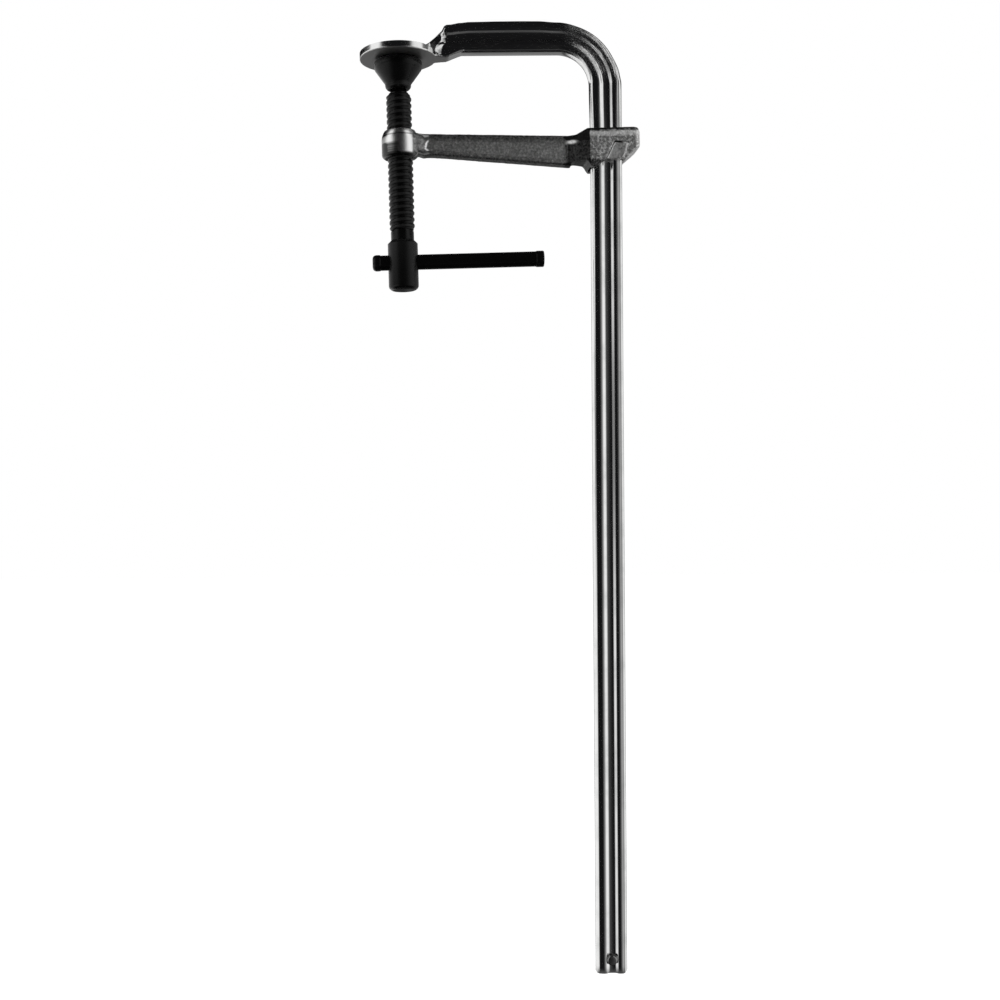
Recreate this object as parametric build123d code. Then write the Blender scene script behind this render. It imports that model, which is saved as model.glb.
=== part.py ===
from build123d import *
from math import cos, radians, sin, tan
import os

# An L-shaped bar clamp, in millimetres. The origin is the centre of the fixed jaw's clamping face,
# +Z runs up along the rail and +X runs from the spindle to the rail.

# Rail: one grooved bar, bent square at the top to make the fixed arm
rail_width = 20.5
rail_depth = 10.5
rail_corner_radius = 2.8
rail_edge_crown = 0.35
groove_mouth_width = 7.4
groove_floor_width = 4.4
groove_depth = 1.5
bead_crown = 0.3
throat_depth = 120.8
bend_inner_radius = 20.0
rail_drop = 578.0
foot_radius = 4.0

# Fixed arm's end: the bar is cut aslant and forged down to a neck and a round jaw disc
fixed_arm_rise = 2.9
bar_end_top_x = 33.0
bar_end_low_x = 23.4
bar_end_radius = 1.2
neck_root_x = 35.0
neck_root_depth = 7.2
neck_root_inset = 0.8
neck_waist_x = 27.0
neck_waist_depth = 8.4
neck_waist_height = 17.2
neck_flare_x = 21.0
neck_flare_depth = 11.0
neck_flare_height = 10.8
neck_sole_height = 0.9
neck_waist_sole_height = 1.3
neck_end_x = 11.0
neck_end_depth = 26.0
neck_edge_radius = 1.0
sole_end_x = 9.0
sole_end_depth = 38.0
sole_waist_x = 24.0
sole_waist_depth = 20.0
sole_top = 3.4
sole_root_x = 38.0
sole_root_depth = 8.4
sole_root_low = 3.1
sole_root_top = 5.3
disc_diameter = 48.5
disc_thickness = 4.0
disc_edge_radius = 1.3

# Stop pin pressed through the rail near its foot
stop_height = 8.6
stop_diameter = 6.4
stop_stand = 1.2
stop_dome_radius = 1.0

# Swivel pad on the spindle's ball
pad_gap = 1.3
pad_diameter = 30.4
pad_rim_height = 4.4
pad_edge_radius = 0.8
pad_height = 17.6
pad_waist_height = 12.6
pad_waist_diameter = 18.8
pad_skirt_diameter = 16.4
pad_lip_diameter = 14.0
pad_lip_height = 1.6
pad_lip_bore = 10.4
ball_depth = 9.8
ball_diameter = 12.0
ball_clearance = 0.1
ring_wire_diameter = 1.2
ring_angle = 30.0
ring_clearance = 0.1
pad_tilt = 4.0
groove_spare = 0.28

# Spindle
thread_diameter = 16.0
ball_neck_diameter = 8.0
shoulder_diameter = 12.4
shoulder_drop = 19.4
thread_top_drop = 22.4
thread_chamfer = 1.4
undercut_top_drop = 108.0
undercut_diameter = 14.6
head_top_drop = 114.8
head_diameter = 19.0
head_top_chamfer = 1.9
head_bottom_drop = 146.0
head_bottom_chamfer = 1.8
head_bottom_crown = 0.9

# Tommy bar through the spindle's head
tommy_drop = 128.4
tommy_diameter = 9.5
tommy_hole_clearance = 0.1
tommy_end_diameter = 10.2
tommy_end_length = 5.0
tommy_end_radius = 1.6
tommy_left_reach = 19.4
tommy_right_reach = 89.1
tommy_hole_countersink = 0.12

# Sliding arm: threaded boss, tapering web and a sleeve round the rail. It sits canted on the rail.
arm_cant = 1.2
boss_diameter = 23.2
boss_top_drop = 44.0
boss_bottom_drop = 62.6
boss_shoulder_height = 7.5
boss_shoulder_inset = 3.0
boss_foot_chamfer = 1.5
boss_root_reach = 15.5
boss_root_width = 19.6
thread_clearance = 0.06
web_depth = 10.0
web_top_drop_at_boss = 47.2
web_bottom_drop_at_boss = 59.7
web_top_drop_at_sleeve = 51.5
web_bottom_drop_at_sleeve = 70.7
web_edge_radius = 2.0
web_lap = 1.4
panel_sink = 1.1
panel_draft_angle = 35.0
panel_top_rim = 4.6
panel_bottom_rim = 2.4
panel_boss_gap = 2.6
panel_corner_radius = 2.6
panel_end_gap = 1.0
rail_play = 0.12
rail_side_play = 0.15
cheek_wall = 4.6
ramp_length = 12.0
inner_wall_lead = 1.2
bridge_wall = 10.1
bridge_nose_radius = 4.0
bridge_nose_spare = 0.1
sleeve_top_drop = 48.5
sleeve_tip_drop = 73.0
sleeve_tip_lead = 0.2
sleeve_tip_width = 2.4
cheek_low_drop = 68.2
cheek_low_start = 10.0
cheek_low_end = 3.2
bridge_taper_drop = 60.8
bridge_tip_drop = 68.0
bridge_tip_width = 1.2
arch_rise = 2.2
arch_lead = 3.0
sleeve_corner_radius = 2.6
sleeve_top_radius = 1.6
sleeve_edge_radius = 0.9
top_fillet_run = 7.2
top_fillet_lead = 0.5
pocket_sink = 1.8
pocket_top_drop = 57.0
pocket_top_x_share = 0.7
pocket_right_drop = 58.6
pocket_right_x_share = 1.12
pocket_low_x_share = 0.97
pocket_left_x_share = 0.41
pocket_corner_radius = 0.8
pocket_draft_angle = 25.0

# One overrun serves every cut
overrun = 1.0

# Places worked out from the sizes above
rail_x = throat_depth + rail_width / 2
fixed_arm_z = fixed_arm_rise + rail_width / 2
bend_radius = bend_inner_radius + rail_width / 2
bend_x = rail_x - bend_radius
bend_z = fixed_arm_z - bend_radius
pad_face_z = -pad_gap
pad_foot_z = pad_face_z - pad_height
ball_z = pad_face_z - ball_depth
ball_radius = ball_diameter / 2
lean = radians(arm_cant)
sleeve_height = sleeve_tip_drop - sleeve_top_drop
sleeve_middle_z = -(sleeve_tip_drop + sleeve_top_drop) / 2
window_x = rail_x / cos(lean) + (sleeve_middle_z - ball_z) * tan(lean)
window_half_width = rail_width / 2 / cos(lean) + sleeve_height / 2 * tan(lean) + rail_play
window_half_depth = rail_depth / 2 + rail_side_play
window_left = window_x - window_half_width
window_right = window_x + window_half_width
sleeve_half_depth = window_half_depth + cheek_wall
cheek_left = window_left - inner_wall_lead
ramp_left = cheek_left - ramp_length
web_right = ramp_left + web_lap
bridge_right = window_right + bridge_wall


def canted(shape):
    """The sliding arm leans on the rail, and what it carries leans with it about the ball's centre."""
    return shape.rotate(Axis((0, 0, ball_z), (0, 1, 0)), -arm_cant)


def side_plate(corners, half_depth, radius):
    """A plate of even depth about the clamp's middle plane, from rounded (x, z) corners."""
    edge = FilletPolyline(*[(x, 0, z) for x, z in corners], radius=radius, close=True)
    return extrude(make_face(edge), amount=half_depth, dir=(0, 1, 0), both=True)


def turned(corners):
    """A body of revolution about the spindle's axis, from (radius, z) corners."""
    edge = Polyline(*[(r, 0, z) for r, z in corners], close=True)
    return revolve(make_face(edge), Axis.Z)


def rail_section():
    """The bar's cross-section, width along X and depth along Y: two crowned beads beside a groove."""
    half_width = rail_width / 2
    half_depth = rail_depth / 2
    flat_half = half_width - rail_corner_radius
    side_half = half_depth - rail_corner_radius
    bead_edge = half_depth - bead_crown
    edge_x = half_width - rail_edge_crown
    bead_x = (groove_mouth_width / 2 + flat_half) / 2
    diagonal_share = sin(radians(45))
    corner_x = flat_half + (edge_x - flat_half) * diagonal_share
    corner_y = side_half + (bead_edge - side_half) * diagonal_share
    quarter = [
        Line((0, half_depth - groove_depth), (groove_floor_width / 2, half_depth - groove_depth)),
        Line((groove_floor_width / 2, half_depth - groove_depth), (groove_mouth_width / 2, bead_edge)),
        ThreePointArc((groove_mouth_width / 2, bead_edge), (bead_x, half_depth), (flat_half, bead_edge)),
        ThreePointArc((flat_half, bead_edge), (corner_x, corner_y), (edge_x, side_half)),
    ]
    side = ThreePointArc((edge_x, side_half), (half_width, 0), (edge_x, -side_half))
    half = quarter + [side] + [edge.mirror(Plane.XZ) for edge in quarter]
    whole = half + [edge.mirror(Plane.YZ) for edge in half]
    return make_face(whole)


def grooved_bar():
    """The straight rail, its bend and the fixed arm, in one piece."""
    section = Pos(rail_x, 0, bend_z) * rail_section()
    straight = extrude(section, amount=rail_drop + bend_z, dir=(0, 0, -1))
    bend = revolve(section, Axis((bend_x, 0, bend_z), (0, -1, 0)), 90)
    arm_face = section.rotate(Axis((bend_x, 0, bend_z), (0, -1, 0)), 90)
    arm = extrude(arm_face, amount=bend_x - neck_end_x, dir=(-1, 0, 0))
    bar = straight + bend + arm
    return foot_rounded(end_cut(bar))


def end_cut(bar):
    """Cuts the fixed arm's end aslant, longer at the bottom than at the top."""
    low_z = fixed_arm_rise - overrun
    high_z = fixed_arm_rise + rail_width + overrun
    slope = (bar_end_top_x - bar_end_low_x) / rail_width
    low_x = bar_end_low_x - overrun * slope
    high_x = bar_end_top_x + overrun * slope
    far_x = neck_end_x - overrun
    corners = [(far_x, 0, low_z), (low_x, 0, low_z), (high_x, 0, high_z), (far_x, 0, high_z)]
    face = make_face(Polyline(*corners, close=True))
    waste = extrude(face, amount=rail_depth, dir=(0, 1, 0), both=True)
    bar = bar - waste
    end = bar.faces().filter_by(GeomType.PLANE).sort_by_distance((neck_end_x, 0, fixed_arm_z))[0]
    return fillet(end.edges(), bar_end_radius)


def foot_rounded(bar):
    """Rounds the outer corner at the rail's foot."""
    corner = Pos(rail_x + rail_width / 2, 0, -rail_drop)
    depth = rail_depth + overrun
    block = Box(foot_radius, depth, foot_radius, align=(Align.MAX, Align.CENTER, Align.MIN))
    rounding = Pos(-foot_radius, 0, foot_radius) * Rot(90, 0, 0) * Cylinder(foot_radius, depth)
    return bar - corner * (block - rounding)


def neck_section(x, depth, low_z, high_z):
    """One upright section of the forged neck, a rounded block across the clamp."""
    plane = Plane(origin=(x, 0, (low_z + high_z) / 2), x_dir=(0, 1, 0), z_dir=(1, 0, 0))
    return plane * RectangleRounded(depth, high_z - low_z, neck_edge_radius)


def neck_ridge():
    """The forged neck's ridge, which falls from the bar's end to the disc."""
    root_low = fixed_arm_rise + neck_root_inset
    root_high = fixed_arm_rise + rail_width - neck_root_inset
    sections = [
        neck_section(neck_end_x, neck_end_depth, neck_sole_height, disc_thickness),
        neck_section(neck_flare_x, neck_flare_depth, neck_sole_height, neck_flare_height),
        neck_section(neck_waist_x, neck_waist_depth, neck_waist_sole_height, neck_waist_height),
        neck_section(neck_root_x, neck_root_depth, root_low, root_high),
    ]
    return loft(sections, ruled=True)


def neck_sole():
    """The flat sole under the ridge, which spreads from the bar into the disc."""
    sections = [
        neck_section(sole_end_x, sole_end_depth, neck_sole_height, sole_top),
        neck_section(sole_waist_x, sole_waist_depth, neck_sole_height, sole_top),
        neck_section(sole_root_x, sole_root_depth, sole_root_low, sole_root_top),
    ]
    return loft(sections, ruled=True)


def jaw_disc():
    """The thin round disc that is the fixed jaw, its face down at the origin."""
    disc = extrude(Circle(disc_diameter / 2), amount=disc_thickness)
    return fillet(disc.edges().filter_by(GeomType.CIRCLE), disc_edge_radius)


def rail():
    hole = Pos(rail_x, 0, stop_height - rail_drop) * Rot(90, 0, 0)
    hole = hole * Cylinder(stop_diameter / 2, rail_depth + overrun)
    return grooved_bar() + neck_ridge() + jaw_disc() + neck_sole() - hole


def stop_pin():
    """A pin pressed through the rail, its rounded ends standing proud of both faces."""
    pin = Cylinder(stop_diameter / 2, rail_depth + 2 * stop_stand)
    pin = fillet(pin.edges().filter_by(GeomType.CIRCLE), stop_dome_radius)
    return Pos(rail_x, 0, stop_height - rail_drop) * Rot(90, 0, 0) * pin


def boss():
    """The threaded boss, with a rounded upper shoulder."""
    radius = boss_diameter / 2
    foot_z = boss_foot_chamfer - boss_bottom_drop
    shoulder_z = -boss_top_drop - boss_shoulder_height
    top_radius = radius - boss_shoulder_inset
    edge = [
        Line((0, 0, -boss_bottom_drop), (radius - boss_foot_chamfer, 0, -boss_bottom_drop)),
        Line((radius - boss_foot_chamfer, 0, -boss_bottom_drop), (radius, 0, foot_z)),
        Line((radius, 0, foot_z), (radius, 0, shoulder_z)),
        TangentArc((radius, 0, shoulder_z), (top_radius, 0, -boss_top_drop), tangent=(0, 0, 1)),
        Line((top_radius, 0, -boss_top_drop), (0, 0, -boss_top_drop)),
        Line((0, 0, -boss_top_drop), (0, 0, -boss_bottom_drop)),
    ]
    return revolve(make_face(edge), Axis.Z)


def boss_root():
    """The flare between the boss and the web, narrowing to the web's depth."""
    low_z = web_edge_z(0, web_bottom_drop_at_boss, web_bottom_drop_at_sleeve)
    high_z = web_edge_z(boss_root_reach, web_top_drop_at_boss, web_top_drop_at_sleeve)
    corners = [
        (0, boss_root_width / 2, low_z),
        (boss_root_reach, web_depth / 2, low_z),
        (boss_root_reach, -web_depth / 2, low_z),
        (0, -boss_root_width / 2, low_z),
    ]
    flare = extrude(make_face(Polyline(*corners, close=True)), amount=high_z - low_z, dir=(0, 0, 1))
    flanks = flare.edges().filter_by(lambda e: abs(e.tangent_at(0).X) > abs(e.tangent_at(0).Y))
    return fillet(flanks, web_edge_radius)


def web_edge_z(x, at_boss, at_sleeve):
    """The height of a straight web edge at x, between its drops at the spindle and at the ramp."""
    return -at_boss - (at_sleeve - at_boss) * x / ramp_left


def web():
    """The tapering web, its long edges rounded."""
    corners = [
        (0, web_edge_z(0, web_top_drop_at_boss, web_top_drop_at_sleeve)),
        (web_right, web_edge_z(web_right, web_top_drop_at_boss, web_top_drop_at_sleeve)),
        (web_right, web_edge_z(web_right, web_bottom_drop_at_boss, web_bottom_drop_at_sleeve)),
        (0, web_edge_z(0, web_bottom_drop_at_boss, web_bottom_drop_at_sleeve)),
    ]
    edge = Polyline(*[(x, 0, z) for x, z in corners], close=True)
    plate = extrude(make_face(edge), amount=web_depth / 2, dir=(0, 1, 0), both=True)
    long_edges = plate.edges().filter_by(lambda e: abs(e.tangent_at(0).X) > abs(e.tangent_at(0).Z))
    return fillet(long_edges, web_edge_radius)


def panels():
    """The cutters of the shallow panel in each side of the web, below its thicker top rim."""
    left = boss_diameter / 2 + panel_boss_gap
    right = ramp_left - panel_end_gap
    top_left = web_edge_z(left, web_top_drop_at_boss, web_top_drop_at_sleeve) - panel_top_rim
    top_right = web_edge_z(right, web_top_drop_at_boss, web_top_drop_at_sleeve) - panel_top_rim
    low_left = web_edge_z(left, web_bottom_drop_at_boss, web_bottom_drop_at_sleeve) + panel_bottom_rim
    low_right = web_edge_z(right, web_bottom_drop_at_boss, web_bottom_drop_at_sleeve) + panel_bottom_rim
    corners = [(left + panel_boss_gap, top_left), (right, top_right), (right, low_right), (left, low_left)]
    y = web_depth / 2
    edge = FilletPolyline(*[(x, -y, z) for x, z in corners], radius=panel_corner_radius, close=True)
    front = extrude(make_face(edge), amount=panel_sink, dir=(0, 1, 0), taper=panel_draft_angle)
    return front + front.mirror(Plane.XZ)


def sleeve_outline():
    """The sleeve seen from the front: deep at the inner lower tip, tapering off at the outer bridge."""
    top_z = -sleeve_top_drop
    web_top = web_edge_z(ramp_left, web_top_drop_at_boss, web_top_drop_at_sleeve)
    web_low = web_edge_z(ramp_left, web_bottom_drop_at_boss, web_bottom_drop_at_sleeve)
    tip_left = window_left + sleeve_tip_lead
    tip_right = tip_left + sleeve_tip_width
    return [
        (ramp_left, web_top),
        (cheek_left - top_fillet_run, web_top),
        (cheek_left - top_fillet_lead, top_z),
        (bridge_right, top_z),
        (bridge_right, -bridge_taper_drop),
        (window_right + bridge_tip_width, -bridge_tip_drop),
        (window_right - bridge_tip_width, -bridge_tip_drop),
        (window_right - cheek_low_end, -cheek_low_drop),
        (window_left + cheek_low_start, -cheek_low_drop),
        (tip_right, -sleeve_tip_drop),
        (tip_left, -sleeve_tip_drop),
        (tip_left - arch_lead, web_low + arch_rise),
        (ramp_left + arch_lead, web_low + arch_rise),
        (ramp_left, web_low),
    ]


def sleeve():
    """The sleeve: its front outline, cut to its plan and to an end view with rounded top edges."""
    corner = sleeve_corner_radius
    small = sleeve_edge_radius
    top_radii = [small, corner, small, corner, corner]
    low_radii = [small, small, corner, corner, small, small, corner, corner, small]
    slab = side_plate(sleeve_outline(), sleeve_half_depth + overrun, top_radii + low_radii)
    return slab & sleeve_plan() & sleeve_end()


def sleeve_plan():
    """The sleeve's plan: the ramp, the cheeks and the rounded bridge."""
    small = sleeve_edge_radius
    nose = bridge_nose_radius
    low_z = -sleeve_tip_drop - overrun
    start_x = ramp_left - 2 * overrun
    nose_x = bridge_right + bridge_nose_spare
    plan = [
        (start_x, web_depth / 2),
        (ramp_left, web_depth / 2),
        (cheek_left, sleeve_half_depth),
        (nose_x, sleeve_half_depth),
        (nose_x, -sleeve_half_depth),
        (cheek_left, -sleeve_half_depth),
        (ramp_left, -web_depth / 2),
        (start_x, -web_depth / 2),
    ]
    radii = [small, small, small, nose, nose, small, small, small]
    edge = FilletPolyline(*[(x, y, low_z) for x, y in plan], radius=radii, close=True)
    return extrude(make_face(edge), amount=sleeve_height + 2 * overrun, dir=(0, 0, 1))


def sleeve_end():
    """The sleeve's end view, its two long top edges rounded."""
    half = sleeve_half_depth
    low_z = -sleeve_tip_drop - overrun
    corners = [(-half, low_z), (half, low_z), (half, -sleeve_top_drop), (-half, -sleeve_top_drop)]
    radii = [sleeve_edge_radius, sleeve_edge_radius, sleeve_top_radius, sleeve_top_radius]
    edge = FilletPolyline(*[(ramp_left - overrun, y, z) for y, z in corners], radius=radii, close=True)
    return extrude(make_face(edge), amount=bridge_right - ramp_left + 2 * overrun, dir=(1, 0, 0))


def pockets():
    """The cutters of the pocket in each cheek, under the rib that runs from the bridge to the inner tip."""
    width = window_right - window_left
    shape = [
        (pocket_left_x_share, cheek_low_drop + overrun),
        (pocket_top_x_share, pocket_top_drop),
        (pocket_right_x_share, pocket_right_drop),
        (pocket_low_x_share, cheek_low_drop + overrun),
    ]
    corners = [(window_left + width * share, -sleeve_half_depth, -drop) for share, drop in shape]
    edge = FilletPolyline(*corners, radius=pocket_corner_radius, close=True)
    front = extrude(make_face(edge), amount=pocket_sink, dir=(0, 1, 0), taper=pocket_draft_angle)
    return front + front.mirror(Plane.XZ)


def sliding_arm():
    """The forged arm: boss, web and sleeve in one piece, bored for the spindle and opened for the rail."""
    body = boss() + boss_root() + (web() - panels()) + (sleeve() - pockets())
    bore = Pos(0, 0, -boss_bottom_drop - overrun) * Cylinder(
        thread_diameter / 2 + thread_clearance,
        boss_bottom_drop - boss_top_drop + 2 * overrun,
        align=(Align.CENTER, Align.CENTER, Align.MIN),
    )
    window = Pos(window_x, 0, sleeve_middle_z) * Box(
        2 * window_half_width,
        2 * window_half_depth,
        sleeve_height + 2 * overrun,
    )
    return canted(body - bore - window)


def spindle():
    """The spindle: ball, neck, plain thread blank, undercut and a head with a cross hole."""
    ball_neck = ball_neck_diameter / 2
    thread = thread_diameter / 2
    head = head_diameter / 2
    undercut = undercut_diameter / 2
    shoulder = shoulder_diameter / 2
    shaft = turned(
        [
            (0, ball_z),
            (ball_neck, ball_z),
            (ball_neck, -shoulder_drop),
            (shoulder, -shoulder_drop - (shoulder - ball_neck)),
            (shoulder, -thread_top_drop),
            (thread - thread_chamfer, -thread_top_drop),
            (thread, -thread_top_drop - thread_chamfer),
            (thread, -undercut_top_drop),
            (undercut, -undercut_top_drop - (thread - undercut)),
            (undercut, -head_top_drop),
            (head - head_top_chamfer, -head_top_drop),
            (head, -head_top_drop - head_top_chamfer),
            (head, -head_bottom_drop + head_bottom_chamfer),
            (head - head_bottom_chamfer, -head_bottom_drop),
            (0, -head_bottom_drop - head_bottom_crown),
        ]
    )
    ball = Pos(0, 0, ball_z) * Sphere(ball_radius)
    hole_radius = tommy_diameter / 2 + tommy_hole_clearance
    hole = Cylinder(hole_radius, head_diameter + 2 * overrun)
    sink_depth = head / 2
    sink = Pos(0, 0, head - sink_depth) * Cone(
        hole_radius,
        hole_radius + tommy_hole_countersink,
        sink_depth,
        align=(Align.CENTER, Align.CENTER, Align.MIN),
    )
    across = Pos(0, 0, -tommy_drop) * Rot(0, 90, 0)
    return canted(shaft + ball - across * (hole + sink + sink.mirror(Plane.XY)))


def tommy_bar():
    """The sliding bar in the spindle's head, its ends upset so that it can't drop out."""
    radius = tommy_diameter / 2
    end = tommy_end_diameter / 2
    rise = end - radius
    corners = [
        (-tommy_left_reach, 0),
        (-tommy_left_reach, end),
        (-tommy_left_reach + tommy_end_length - rise, end),
        (-tommy_left_reach + tommy_end_length, radius),
        (tommy_right_reach - tommy_end_length, radius),
        (tommy_right_reach - tommy_end_length + rise, end),
        (tommy_right_reach, end),
        (tommy_right_reach, 0),
    ]
    edge = Polyline(*[(x, 0, r) for x, r in corners], close=True)
    bar = revolve(make_face(edge), Axis.X)
    rims = bar.edges().filter_by(GeomType.CIRCLE).group_by(Axis.X)
    bar = fillet(rims[0] + rims[-1], tommy_end_radius)
    return canted(Pos(0, 0, -tommy_drop) * bar)


def ring_place():
    """The snap ring's wire radius, its circle's radius and its height, as it lies under the ball."""
    wire = ring_wire_diameter / 2
    reach = ball_radius + ring_clearance + wire
    return wire, reach * cos(radians(ring_angle)), ball_z - reach * sin(radians(ring_angle))


def pad_snap_ring():
    """The wire ring in the pad's groove that holds the pad on the ball."""
    wire, circle, z = ring_place()
    return Pos(0, 0, z) * Torus(circle, wire)


def swivel_pad():
    """The conical pad: flat face, rim, cone and a rolled skirt round the spindle's ball."""
    rim = pad_diameter / 2
    body = turned(
        [
            (0, pad_face_z),
            (rim, pad_face_z),
            (rim, pad_face_z - pad_rim_height),
            (pad_waist_diameter / 2, pad_face_z - pad_waist_height),
            (pad_skirt_diameter / 2, pad_face_z - pad_waist_height - pad_lip_height),
            (pad_skirt_diameter / 2, pad_foot_z + pad_lip_height),
            (pad_lip_diameter / 2, pad_foot_z),
            (0, pad_foot_z),
        ]
    )
    rims = body.edges().filter_by(GeomType.CIRCLE).group_by(Axis.Z)
    body = fillet(rims[-1] + rims[-2], pad_edge_radius)
    wire, circle, ring_z = ring_place()
    socket_radius = ball_radius + ball_clearance
    groove_half = wire + circle * sin(radians(pad_tilt)) + groove_spare
    groove_radius = circle + wire + groove_spare
    socket = Pos(0, 0, ball_z) * Sphere(socket_radius)
    entry = turned([(0, ball_z), (socket_radius, ball_z), (socket_radius, ring_z), (0, ring_z)])
    groove = turned(
        [
            (0, ring_z + groove_half),
            (groove_radius, ring_z + groove_half),
            (groove_radius, ring_z - groove_half),
            (0, ring_z - groove_half),
        ]
    )
    mouth = turned(
        [
            (0, ring_z),
            (pad_lip_bore / 2, ring_z),
            (pad_lip_bore / 2, pad_foot_z - overrun),
            (0, pad_foot_z - overrun),
        ]
    )
    return body - (socket + entry + groove + mouth)


PARTS = {
    "rail": rail,
    "stop_pin": stop_pin,
    "sliding_arm": sliding_arm,
    "spindle": spindle,
    "tommy_bar": tommy_bar,
    "pad_snap_ring": pad_snap_ring,
    "swivel_pad": swivel_pad,
}

os.makedirs("parts", exist_ok=True)
for node, make in PARTS.items():
    export_step(make(), f"parts/{node}.step")
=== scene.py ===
from math import asin, atan2, cos, exp, hypot, pi, radians, sin, tan, tau

import bmesh
import bpy
from bmesh.types import BMEdge, BMVert
from mathutils import Matrix, Vector, noise


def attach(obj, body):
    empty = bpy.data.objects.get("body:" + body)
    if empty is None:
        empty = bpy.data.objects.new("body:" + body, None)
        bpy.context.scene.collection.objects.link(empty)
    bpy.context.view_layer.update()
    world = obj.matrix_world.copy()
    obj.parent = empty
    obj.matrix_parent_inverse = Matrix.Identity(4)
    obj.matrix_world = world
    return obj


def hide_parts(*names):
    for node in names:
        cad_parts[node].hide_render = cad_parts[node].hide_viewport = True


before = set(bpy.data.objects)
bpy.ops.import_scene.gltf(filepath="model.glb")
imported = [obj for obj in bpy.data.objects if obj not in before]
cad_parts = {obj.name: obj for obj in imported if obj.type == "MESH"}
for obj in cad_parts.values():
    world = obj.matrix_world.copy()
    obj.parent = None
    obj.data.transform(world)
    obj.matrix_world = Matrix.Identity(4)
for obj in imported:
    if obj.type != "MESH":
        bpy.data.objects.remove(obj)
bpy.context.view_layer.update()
MM = 0.001

# Sizes of the clamp in millimetres and degrees, from the middle of the fixed jaw's face
rail_x = 131.05
rail_foot_z = -578.0
rail_width = 20.5
run_width = 19.75
run_taper_length = 42.0
bend_x = 100.8
bend_z = -17.1
bend_inner_radius = 20.0
fixed_arm_low_z = 2.9
fixed_arm_high_z = 23.4
groove_floor_half = 2.0
groove_floor_rounding = 0.5
groove_mouth_half = 3.7
groove_mouth_rounding = 0.7
groove_floor_y = 3.75
bead_edge_y = 4.95
bead_rise = 0.3
bead_middle_x = 5.575
bead_radius = 6.01
corner_x = 7.45
corner_y = 2.45
corner_radius = 2.5
side_centre_x = 0.1
foot_radius = 4.0
foot_length = 5.0
foot_edge_radius = 0.45
nose_length = 5.6
nose_tip_share = 0.14
bar_end_top_x = 30.4
bar_end_low_x = 20.4
bar_spare_x = 15.0
disc_radius = 24.24
disc_thickness = 4.0
disc_free_x = 16.0
disc_face_slack = 0.15
disc_rim_slack = 0.7
boss_radius = 11.6
boss_top_z = -45.6
boss_bottom_z = -62.6
boss_foot_radius = 2.4
boss_free_x = 9.0
boss_turned_radius = 13.2
root_top_z = -54.0
root_fill = 1.1
root_run_in = 3.0
root_run_out = 6.0
web_start_x = 11.8
web_end_x = 106.2
web_top_z = -47.2
web_end_top_z = -51.5
web_top_slope = 0.0405
web_low_z = -59.7
web_low_slope = 0.1036
web_half_depth = 5.0
web_edge_radius = 4.4
sleeve_x = 118.2
sleeve_top_z = -48.5
sleeve_half_depth = 9.97
sleeve_edge_radius = 3.2
sleeve_corner_radius = 4.6
sleeve_wear = 0.4
ball_z = -11.1
ball_radius = 6.0
socket_radius = 6.1
arm_cant = 1.2
thread_radius = 8.0
thread_core_radius = 7.35
thread_pitch = 4.0
thread_root_length = 1.26
thread_flank_length = 0.6
thread_root_rounding = 0.25
thread_crest_rounding = 0.32
thread_top_z = -22.4
thread_top_radius = 6.7
thread_low_z = -108.0
thread_low_radius = 7.2
tommy_z = -128.4
stop_radius = 3.2
stop_end_y = 6.44
stop_z = -569.4

canted = (
    Matrix.Translation((0, 0, ball_z * MM))
    @ Matrix.Rotation(radians(-arm_cant), 4, "Y")
    @ Matrix.Translation((0, 0, -ball_z * MM))
)
through_head = Matrix.Translation((0, 0, tommy_z * MM)) @ Matrix.Rotation(pi / 2, 4, "Y")
through_foot = Matrix.Translation((rail_x * MM, 0, stop_z * MM)) @ Matrix.Rotation(pi / 2, 4, "X")


# Finishes

class Value:
    """One value in a finish: a socket whose sums add Math nodes."""

    def __init__(self, tree, socket):
        self.tree = tree
        self.socket = socket

    def math(self, operation, *terms):
        return node(self.tree, "ShaderNodeMath", {"operation": operation}, dict(enumerate(terms)))

    def __add__(self, other):
        return self.math("ADD", self, other)

    def __sub__(self, other):
        return self.math("SUBTRACT", self, other)

    def __rsub__(self, other):
        return self.math("SUBTRACT", other, self)

    def __mul__(self, other):
        return self.math("MULTIPLY", self, other)

    def __truediv__(self, other):
        return self.math("DIVIDE", self, other)

    __radd__ = __add__
    __rmul__ = __mul__

    def above(self, floor):
        return self.math("MAXIMUM", self, floor)

    def root(self):
        return self.math("SQRT", self)

    def size(self):
        return self.math("ABSOLUTE", self)

    def between(self, low, high):
        """0 below low, 1 above high and a soft step between them."""
        settings = {"interpolation_type": "SMOOTHSTEP"}
        inputs = {"Value": self, "From Min": low, "From Max": high}
        return node(self.tree, "ShaderNodeMapRange", settings, inputs)

    def band(self, low, full, fade, high):
        """1 from full to fade, and softly down to 0 at low and at high."""
        return self.between(low, full) * (1 - self.between(fade, high))


def node(tree, kind, settings=None, inputs=None, output=0):
    """Adds a node, sets it up, then fills its sockets with values or links."""
    made = tree.nodes.new(kind)
    for name, setting in (settings or {}).items():
        setattr(made, name, setting)
    for name, value in (inputs or {}).items():
        if isinstance(value, Value):
            tree.links.new(value.socket, made.inputs[name])
        else:
            made.inputs[name].default_value = value
    return Value(tree, made.outputs[output]) if made.outputs else None


def place(tree):
    """The object's own x, y and z, and the whole vector."""
    where = node(tree, "ShaderNodeTexCoord", output="Object")
    x, y, z = [node(tree, "ShaderNodeSeparateXYZ", None, {0: where}, axis) for axis in "XYZ"]
    return x, y, z, where


def vector(tree, x, y, z):
    """Three values as one vector."""
    return node(tree, "ShaderNodeCombineXYZ", None, {"X": x, "Y": y, "Z": z})


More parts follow.
